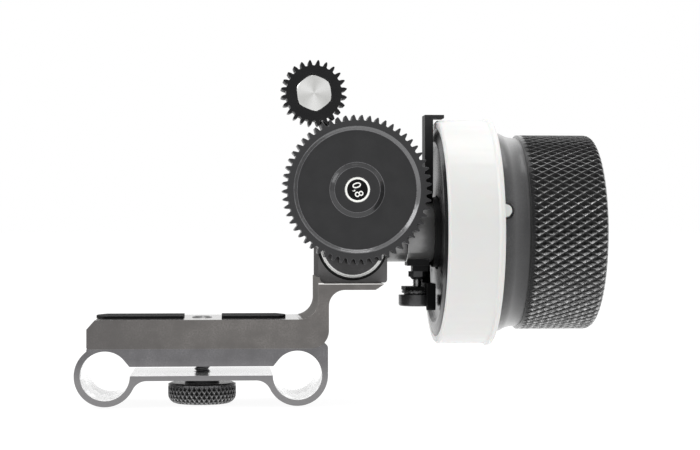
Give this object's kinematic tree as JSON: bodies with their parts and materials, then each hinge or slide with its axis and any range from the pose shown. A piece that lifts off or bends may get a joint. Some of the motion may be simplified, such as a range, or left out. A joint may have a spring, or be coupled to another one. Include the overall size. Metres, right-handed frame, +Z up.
{
  "type": "follow focus unit",
  "caption": "Follow focus unit for twin 15 mm rods: bridge and split clamp, gearbox with drive gear and small gear, white marking disc and knurled handwheel.",
  "frame": {"origin": "midway between the two rod bore axes, in the front face plane of the rod clamp", "axes": "+X from the left rod to the handwheel, +Z up, -Y out of the front faces along the rods"},
  "size_m": [0.1669, 0.0742, 0.109],
  "materials": {
    "bracket_grey": "satin anodised, warm dark grey",
    "clamp_grey": "satin anodised, dark grey",
    "gearbox_grey": "satin anodised, dark blue-grey",
    "black_anodised": "satin black anodised",
    "gear_black": "hard anodised black, turned faces",
    "hub_black": "satin black anodised, turned",
    "grip_black": "black anodised, diamond knurled",
    "knob_black": "black anodised, diamond knurled",
    "bearing_grey": "turned, light grey",
    "disc_white": "writable white, slightly translucent",
    "strip_black": "matt black strip",
    "cap_black": "satin black anodised",
    "ring_white": "white inlay",
    "badge_black": "black disc with a white ring and a number",
    "steel": "bright turned steel",
    "hexagon_steel": "bright drawn hexagon bar, faced end",
    "screw_black": "black oxide",
    "bush_bronze": "sintered bronze",
    "bush_steel": "threaded steel bush",
    "train_steel": "cut steel gear"
  },
  "bodies": {
    "root": {"rod_clamp": "clamp_grey", "bridge_bracket": "bracket_grey", "clamp_screws": "screw_black", "clamp_bush": "bush_steel", "grip_strip_left": "strip_black", "grip_strip_right": "strip_black", "gearbox_housing": "gearbox_grey", "rear_cover": "gearbox_grey", "housing_screws": "screw_black", "cover_screws": "screw_black", "arm_screws": "screw_black", "front_cap": "cap_black", "cap_ring": "ring_white", "cross_bush_front": "bush_bronze", "cross_bush_rear": "bush_bronze", "spindle_bush_front": "bush_bronze", "spindle_bush_rear": "bush_bronze", "idler_arm": "black_anodised", "idler_bush": "bush_bronze", "bearing_flange": "bearing_grey", "bearing_housing": "gearbox_grey", "wheel_bush_left": "bush_bronze", "wheel_bush_right": "bush_bronze", "housing_collar": "black_anodised", "index_plate": "black_anodised", "screw_block": "black_anodised", "lock_nut": "screw_black"},
    "handwheel": {"handwheel_shaft": "steel", "bevel_pinion": "train_steel", "backing_plate": "hub_black", "plate_screws": "screw_black", "marking_disc": "disc_white", "wheel_hub": "hub_black", "hub_setscrew": "screw_black", "knurled_grip": "grip_black", "end_cap": "hub_black", "end_cap_screws": "screw_black", "crank_socket": "steel"},
    "cross_shaft": {"cross_shaft": "steel", "bevel_gear": "train_steel", "transfer_gear": "train_steel"},
    "drive": {"gear_spindle": "steel", "spindle_gear": "train_steel", "spindle_spacer": "bearing_grey", "drive_gear": "gear_black", "gear_badge": "badge_black"},
    "idler": {"hex_axle": "hexagon_steel", "axle_clip": "screw_black"},
    "pinion": {"small_gear": "gear_black"},
    "clamp_seat": {"clamp_washer": "screw_black"},
    "clamp_turn": {"clamp_screw": "steel", "clamp_knob": "knob_black"},
    "lock_seat": {"lock_washers": "screw_black"},
    "lock_turn": {"lock_screw": "steel", "thumb_wheel": "knob_black"}
  },
  "joints": [
    {"name": "handwheel_spin", "type": "hinge", "parent": "root", "child": "handwheel", "pos_m": [0.1, 0.022, 0.0449], "axis": [1, 0, 0], "continuous": true},
    {"name": "cross_shaft_spin", "type": "hinge", "parent": "root", "child": "cross_shaft", "pos_m": [0.04813, 0.02, 0.0449], "axis": [0, 1, 0], "continuous": true},
    {"name": "drive_gear_spin", "type": "hinge", "parent": "root", "child": "drive", "pos_m": [0.04886, 0, 0.05823], "axis": [0, 1, 0], "continuous": true},
    {"name": "small_gear_spin", "type": "hinge", "parent": "root", "child": "idler", "pos_m": [0.03521, 0, 0.0886], "axis": [0, 1, 0], "continuous": true},
    {"name": "small_gear_slide", "type": "slide", "parent": "idler", "child": "pinion", "axis": [0, 1, 0], "range_m": [0, 0.0055]},
    {"name": "clamp_travel", "type": "slide", "parent": "root", "child": "clamp_seat", "axis": [0, 0, -1], "range_m": [0, 0.0025]},
    {"name": "clamp_knob_turn", "type": "hinge", "parent": "clamp_seat", "child": "clamp_turn", "pos_m": [0, 0.0175, -0.005], "axis": [0, 0, -1], "range_deg": [0, 720]},
    {"name": "lock_travel", "type": "slide", "parent": "root", "child": "lock_seat", "axis": [0, 0, -1], "range_m": [0, 0.001]},
    {"name": "thumb_wheel_turn", "type": "hinge", "parent": "lock_seat", "child": "lock_turn", "pos_m": [0.0702, 0.022, 0.0225], "axis": [0, 0, -1], "range_deg": [0, 720]}
  ],
  "couplings": [
    {"joint": "cross_shaft_spin", "follows": "handwheel_spin", "ratio": -1},
    {"joint": "drive_gear_spin", "follows": "handwheel_spin", "ratio": 1},
    {"joint": "small_gear_spin", "follows": "handwheel_spin", "ratio": -2.375},
    {"joint": "clamp_knob_turn", "follows": "clamp_travel", "rad_per_m": 5026.5},
    {"joint": "thumb_wheel_turn", "follows": "lock_travel", "rad_per_m": 12566}
  ]
}
